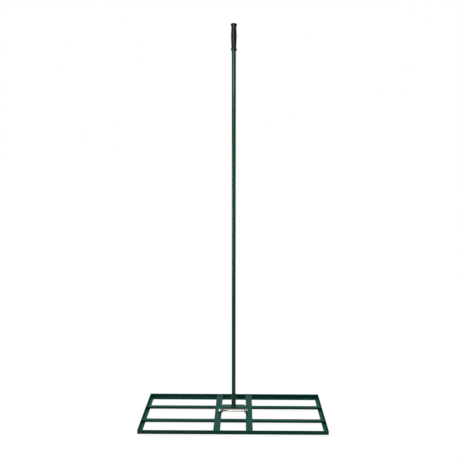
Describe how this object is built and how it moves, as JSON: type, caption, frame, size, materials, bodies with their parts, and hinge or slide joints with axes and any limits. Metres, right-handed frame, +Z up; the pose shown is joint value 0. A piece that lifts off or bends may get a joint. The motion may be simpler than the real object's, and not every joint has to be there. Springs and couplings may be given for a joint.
{
  "type": "lawn leveler",
  "caption": "Wide open steel frame that drags flat over the ground to spread soil, with a long jointed pole that tilts on a cross bolt and ends in a rubber grip.",
  "frame": {"origin": "on the ground, under the middle of the frame's rectangle", "axes": "+Z up along the upright pole, +X along the frame's long side to the right, +Y to the rear, away from the camera"},
  "size_m": [0.9144, 0.254, 1.8862],
  "materials": {
    "green_coat": "glossy dark green powder coat",
    "zinc_plate": "bright zinc plate",
    "rubber": "satin moulded dark grey",
    "nylon": "natural nylon"
  },
  "bodies": {
    "head": {"front_angle": "green_coat", "rear_angle": "green_coat", "left_angle": "green_coat", "right_angle": "green_coat", "front_cross_bar": "green_coat", "rear_cross_bar": "green_coat", "left_plate": "green_coat", "right_plate": "green_coat", "left_ear": "green_coat", "right_ear": "green_coat", "pivot_bolt": "zinc_plate", "lock_nut": "zinc_plate", "nut_ring": "nylon", "left_washer": "zinc_plate", "right_washer": "zinc_plate"},
    "handle": {"yoke": "green_coat", "handle_socket": "green_coat", "socket_collar": "green_coat", "collar_screw": "zinc_plate", "lower_pole": "green_coat", "middle_pole": "green_coat", "upper_pole": "green_coat", "lower_insert": "zinc_plate", "lower_stud": "zinc_plate", "upper_insert": "zinc_plate", "upper_stud": "zinc_plate", "grip": "rubber"}
  },
  "joints": [
    {"name": "handle_tilt", "type": "hinge", "parent": "head", "child": "handle", "pos_m": [0, -0.004, 0.02665], "axis": [1, 0, 0], "range_deg": [-88, 88]}
  ]
}
